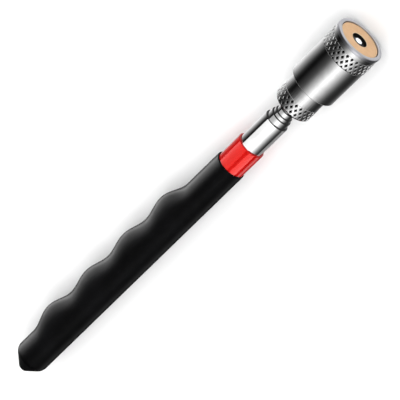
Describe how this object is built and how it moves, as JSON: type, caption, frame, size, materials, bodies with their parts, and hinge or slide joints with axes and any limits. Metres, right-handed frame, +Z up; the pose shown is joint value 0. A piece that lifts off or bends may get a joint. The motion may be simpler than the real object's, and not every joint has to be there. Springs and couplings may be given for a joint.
{
  "type": "magnetic pickup tool",
  "caption": "Telescopic magnetic pickup tool: finger-grip handle, nested chrome tube sections, and a knurled swivel head with a ring magnet round a small light.",
  "frame": {"origin": "on the surface that the tool lies on, under the middle of its length, with the sections pushed in", "axes": "+X along the tool's axis from the butt to the magnet face, +Y from the axis towards the finger bumps, +Z up"},
  "size_m": [0.16, 0.0164, 0.0164],
  "materials": {
    "vinyl": "glossy black moulded vinyl",
    "red_plastic": "glossy red plastic sleeve",
    "chrome_tube": "bright chrome on thin drawn tube",
    "nickel": "polished nickel, with two diamond-knurled bands",
    "satin_nickel": "satin",
    "magnet": "matte copper-coloured plating on a sintered ring magnet",
    "steel": "plain",
    "bronze": "plain",
    "white_plastic": "plain",
    "black_plastic": "plain",
    "seal": "plain",
    "cell_can": "plain",
    "lens": "clear lens over a white light",
    "board": "lacquered circuit board"
  },
  "bodies": {
    "handle": {"grip_sleeve": "vinyl", "red_collar": "red_plastic", "outer_tube": "chrome_tube", "butt_plug": "black_plastic"},
    "section_2": {"tube_2": "chrome_tube", "bush_2": "bronze"},
    "section_3": {"tube_3": "chrome_tube", "bush_3": "bronze"},
    "section_4": {"tube_4": "chrome_tube", "bush_4": "bronze"},
    "section_5": {"tube_5": "chrome_tube", "bush_5": "bronze"},
    "swivel": {"ball_stud": "steel"},
    "head_tail": {"tail_cap": "nickel", "ball_seat": "white_plastic", "seat_spring": "steel", "seat_nut": "bronze", "barrel_o_ring": "seal", "neck_clip": "steel", "cell_spring": "steel", "cell_sleeve": "white_plastic", "button_cell_1": "cell_can", "button_cell_2": "cell_can", "button_cell_3": "cell_can", "button_cell_4": "cell_can"},
    "head_barrel": {"battery_barrel": "nickel"},
    "cap_seal": {"cap_o_ring": "seal"},
    "light_cap": {"front_cap": "nickel", "face_ring": "satin_nickel", "magnet_cup": "steel", "ring_magnet": "magnet", "led_holder": "black_plastic", "led": "lens", "led_leads": "steel", "contact_board": "board", "resistor": "black_plastic", "front_contact": "bronze"}
  },
  "joints": [
    {"name": "section_2_slide", "type": "slide", "parent": "handle", "child": "section_2", "axis": [1, 0, 0], "range_m": [0, 0.1]},
    {"name": "section_3_slide", "type": "slide", "parent": "section_2", "child": "section_3", "axis": [1, 0, 0], "range_m": [0, 0.102]},
    {"name": "section_4_slide", "type": "slide", "parent": "section_3", "child": "section_4", "axis": [1, 0, 0], "range_m": [0, 0.1035]},
    {"name": "section_5_slide", "type": "slide", "parent": "section_4", "child": "section_5", "axis": [1, 0, 0], "range_m": [0, 0.105]},
    {"name": "section_swivel", "type": "hinge", "parent": "section_5", "child": "swivel", "pos_m": [0.03995, 0, 0.0082], "axis": [1, 0, 0], "continuous": true},
    {"name": "head_tilt", "type": "hinge", "parent": "swivel", "child": "head_tail", "pos_m": [0.05175, 0, 0.0082], "axis": [0, 0, 1], "range_deg": [-30, 30]},
    {"name": "light_switch", "type": "hinge", "parent": "head_tail", "child": "head_barrel", "pos_m": [0.05995, 0, 0.0082], "axis": [1, 0, 0], "range_deg": [0, 90]},
    {"name": "cap_travel", "type": "slide", "parent": "head_barrel", "child": "cap_seal", "axis": [1, 0, 0], "range_m": [0, 0.004]},
    {"name": "cap_turn", "type": "hinge", "parent": "cap_seal", "child": "light_cap", "pos_m": [0.07095, 0, 0.0082], "axis": [1, 0, 0], "range_deg": [0, 1440]}
  ],
  "couplings": [
    {"joint": "cap_travel", "follows": "cap_turn", "m_per_rad": 0.00015915}
  ]
}
